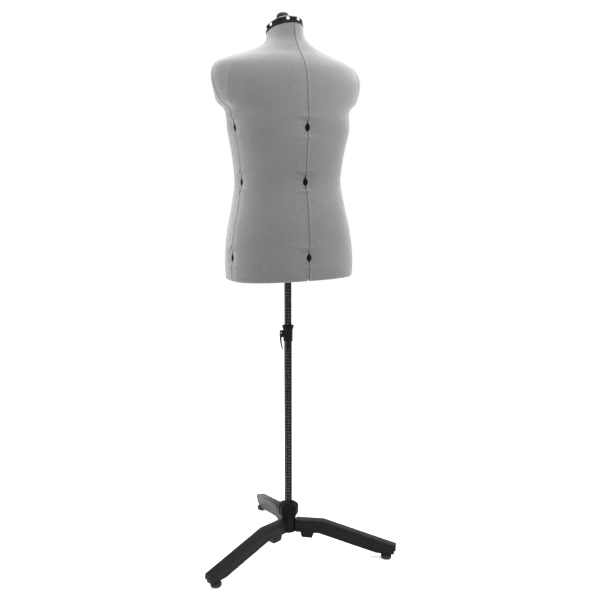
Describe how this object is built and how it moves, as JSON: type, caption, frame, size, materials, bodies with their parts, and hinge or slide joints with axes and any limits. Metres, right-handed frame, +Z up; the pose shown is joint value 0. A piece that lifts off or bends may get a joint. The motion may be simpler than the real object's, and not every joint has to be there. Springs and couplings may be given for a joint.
{
  "type": "dress form mannequin",
  "caption": "Adjustable male dress form: quarter torso panels opened by thumbwheels and a neck knob, on a telescopic pole with a flip clamp and a tripod base.",
  "frame": {"origin": "centre of the bounding box at floor level", "axes": "+Z up; the form faces -Y and its left side is +X"},
  "size_m": [0.6132, 0.583, 1.6857],
  "materials": {
    "black_plastic": "semi-matte moulded",
    "pole_black": "satin powder coat",
    "shell_plastic": "matte moulded",
    "grey_fabric": "knitted jersey over foam",
    "neck_plastic": "satin moulded",
    "carrier_metal": "zinc plated",
    "steel": "zinc plated",
    "rubber": "matte"
  },
  "bodies": {
    "stand": {"hub": "black_plastic", "lower_pole": "pole_black", "clamp_collar": "black_plastic", "clamp_pin": "steel", "leg_1": "black_plastic", "leg_2": "black_plastic", "leg_3": "black_plastic", "leg_screw_1": "steel", "leg_screw_2": "steel", "leg_screw_3": "steel", "foot_1": "rubber", "foot_2": "rubber", "foot_3": "rubber"},
    "collar_nut": {"collar_nut": "black_plastic"},
    "clamp_lever": {"clamp_lever": "black_plastic"},
    "upper_pole": {"upper_pole": "pole_black"},
    "torso_frame": {"upper_carrier": "carrier_metal", "lower_carrier": "carrier_metal", "neck_cap": "neck_plastic"},
    "neck_knob": {"neck_knob": "neck_plastic"},
    "panel_left_back": {"shell_left_back": "shell_plastic", "cover_left_back": "grey_fabric", "neck_band_left_back": "black_plastic", "upper_socket_left_back": "shell_plastic", "lower_socket_left_back": "shell_plastic"},
    "panel_right_back": {"shell_right_back": "shell_plastic", "cover_right_back": "grey_fabric", "neck_band_right_back": "black_plastic", "upper_socket_right_back": "shell_plastic", "lower_socket_right_back": "shell_plastic"},
    "panel_left_front": {"shell_left_front": "shell_plastic", "cover_left_front": "grey_fabric", "neck_band_left_front": "black_plastic", "upper_socket_left_front": "shell_plastic", "lower_socket_left_front": "shell_plastic"},
    "panel_right_front": {"shell_right_front": "shell_plastic", "cover_right_front": "grey_fabric", "neck_band_right_front": "black_plastic", "upper_socket_right_front": "shell_plastic", "lower_socket_right_front": "shell_plastic"},
    "wheel_hip_centre_back": {"wheel_hip_centre_back": "black_plastic"},
    "wheel_waist_centre_back": {"wheel_waist_centre_back": "black_plastic"},
    "wheel_chest_centre_back": {"wheel_chest_centre_back": "black_plastic"},
    "wheel_hip_centre_front": {"wheel_hip_centre_front": "black_plastic"},
    "wheel_waist_centre_front": {"wheel_waist_centre_front": "black_plastic"},
    "wheel_chest_centre_front": {"wheel_chest_centre_front": "black_plastic"},
    "wheel_hip_left_side": {"wheel_hip_left_side": "black_plastic"},
    "wheel_waist_left_side": {"wheel_waist_left_side": "black_plastic"},
    "wheel_chest_left_side": {"wheel_chest_left_side": "black_plastic"},
    "wheel_hip_right_side": {"wheel_hip_right_side": "black_plastic"},
    "wheel_waist_right_side": {"wheel_waist_right_side": "black_plastic"},
    "wheel_chest_right_side": {"wheel_chest_right_side": "black_plastic"}
  },
  "joints": [
    {"name": "height_slide", "type": "slide", "parent": "stand", "child": "upper_pole", "axis": [0, 0, 1], "range_m": [-0.14, 0.14]},
    {"name": "torso_turn", "type": "hinge", "parent": "upper_pole", "child": "torso_frame", "pos_m": [-0.02725, 0.05695, 1.455], "axis": [0, 0, 1], "continuous": true},
    {"name": "collar_nut_turn", "type": "hinge", "parent": "stand", "child": "collar_nut", "pos_m": [-0.02725, 0.05695, 0.139], "axis": [0, 0, 1], "range_deg": [0, 540]},
    {"name": "clamp_lever_flip", "type": "hinge", "parent": "stand", "child": "clamp_lever", "pos_m": [-0.00854, 0.04742, 0.722], "axis": [-0.454, -0.891, 0], "range_deg": [0, 110]},
    {"name": "panel_slide_left_back", "type": "slide", "parent": "torso_frame", "child": "panel_left_back", "axis": [0.7071, 0.7071, 0], "range_m": [0, 0.02687]},
    {"name": "panel_slide_right_back", "type": "slide", "parent": "torso_frame", "child": "panel_right_back", "axis": [-0.7071, 0.7071, 0], "range_m": [0, 0.02687]},
    {"name": "panel_slide_left_front", "type": "slide", "parent": "torso_frame", "child": "panel_left_front", "axis": [0.7071, -0.7071, 0], "range_m": [0, 0.02687]},
    {"name": "panel_slide_right_front", "type": "slide", "parent": "torso_frame", "child": "panel_right_front", "axis": [-0.7071, -0.7071, 0], "range_m": [0, 0.02687]},
    {"name": "neck_knob_turn", "type": "hinge", "parent": "torso_frame", "child": "neck_knob", "pos_m": [-0.02725, 0.0294, 1.66616], "axis": [0, -0.2873, 0.9578], "range_deg": [0, 550]},
    {"name": "wheel_turn_hip_centre_back", "type": "hinge", "parent": "panel_left_back", "child": "wheel_hip_centre_back", "pos_m": [-0.02725, 0.18265, 0.97], "axis": [1, 0, 0], "range_deg": [0, 1380]},
    {"name": "wheel_turn_waist_centre_back", "type": "hinge", "parent": "panel_left_back", "child": "wheel_waist_centre_back", "pos_m": [-0.02725, 0.15865, 1.19], "axis": [1, 0, 0], "range_deg": [0, 1380]},
    {"name": "wheel_turn_chest_centre_back", "type": "hinge", "parent": "panel_left_back", "child": "wheel_chest_centre_back", "pos_m": [-0.02725, 0.17165, 1.345], "axis": [1, 0, 0], "range_deg": [0, 1380]},
    {"name": "wheel_turn_hip_centre_front", "type": "hinge", "parent": "panel_left_front", "child": "wheel_hip_centre_front", "pos_m": [-0.02725, -0.06975, 0.97], "axis": [1, 0, 0], "range_deg": [0, 1380]},
    {"name": "wheel_turn_waist_centre_front", "type": "hinge", "parent": "panel_left_front", "child": "wheel_waist_centre_front", "pos_m": [-0.02725, -0.06075, 1.19], "axis": [1, 0, 0], "range_deg": [0, 1380]},
    {"name": "wheel_turn_chest_centre_front", "type": "hinge", "parent": "panel_left_front", "child": "wheel_chest_centre_front", "pos_m": [-0.02725, -0.06375, 1.345], "axis": [1, 0, 0], "range_deg": [0, 1380]},
    {"name": "wheel_turn_hip_left_side", "type": "hinge", "parent": "panel_left_back", "child": "wheel_hip_left_side", "pos_m": [0.1577, 0.08295, 0.97], "axis": [0, 1, 0], "range_deg": [0, 1380]},
    {"name": "wheel_turn_waist_left_side", "type": "hinge", "parent": "panel_left_back", "child": "wheel_waist_left_side", "pos_m": [0.1207, 0.07195, 1.19], "axis": [0, 1, 0], "range_deg": [0, 1380]},
    {"name": "wheel_turn_chest_left_side", "type": "hinge", "parent": "panel_left_back", "child": "wheel_chest_left_side", "pos_m": [0.1447, 0.08195, 1.345], "axis": [0, 1, 0], "range_deg": [0, 1380]},
    {"name": "wheel_turn_hip_right_side", "type": "hinge", "parent": "panel_right_back", "child": "wheel_hip_right_side", "pos_m": [-0.2122, 0.08295, 0.97], "axis": [0, 1, 0], "range_deg": [0, 1380]},
    {"name": "wheel_turn_waist_right_side", "type": "hinge", "parent": "panel_right_back", "child": "wheel_waist_right_side", "pos_m": [-0.1752, 0.07195, 1.19], "axis": [0, 1, 0], "range_deg": [0, 1380]},
    {"name": "wheel_turn_chest_right_side", "type": "hinge", "parent": "panel_right_back", "child": "wheel_chest_right_side", "pos_m": [-0.1992, 0.08195, 1.345], "axis": [0, 1, 0], "range_deg": [0, 1380]}
  ],
  "couplings": [
    {"joint": "panel_slide_right_back", "follows": "panel_slide_left_back", "ratio": 1},
    {"joint": "panel_slide_left_front", "follows": "panel_slide_left_back", "ratio": 1},
    {"joint": "panel_slide_right_front", "follows": "panel_slide_left_back", "ratio": 1},
    {"joint": "neck_knob_turn", "follows": "panel_slide_left_back", "rad_per_m": 350.75},
    {"joint": "wheel_turn_hip_centre_back", "follows": "panel_slide_left_back", "rad_per_m": 888.58},
    {"joint": "wheel_turn_waist_centre_back", "follows": "panel_slide_left_back", "rad_per_m": 888.58},
    {"joint": "wheel_turn_chest_centre_back", "follows": "panel_slide_left_back", "rad_per_m": 888.58},
    {"joint": "wheel_turn_hip_centre_front", "follows": "panel_slide_left_back", "rad_per_m": 888.58},
    {"joint": "wheel_turn_waist_centre_front", "follows": "panel_slide_left_back", "rad_per_m": 888.58},
    {"joint": "wheel_turn_chest_centre_front", "follows": "panel_slide_left_back", "rad_per_m": 888.58},
    {"joint": "wheel_turn_hip_left_side", "follows": "panel_slide_left_back", "rad_per_m": 888.58},
    {"joint": "wheel_turn_waist_left_side", "follows": "panel_slide_left_back", "rad_per_m": 888.58},
    {"joint": "wheel_turn_chest_left_side", "follows": "panel_slide_left_back", "rad_per_m": 888.58},
    {"joint": "wheel_turn_hip_right_side", "follows": "panel_slide_left_back", "rad_per_m": 888.58},
    {"joint": "wheel_turn_waist_right_side", "follows": "panel_slide_left_back", "rad_per_m": 888.58},
    {"joint": "wheel_turn_chest_right_side", "follows": "panel_slide_left_back", "rad_per_m": 888.58}
  ]
}
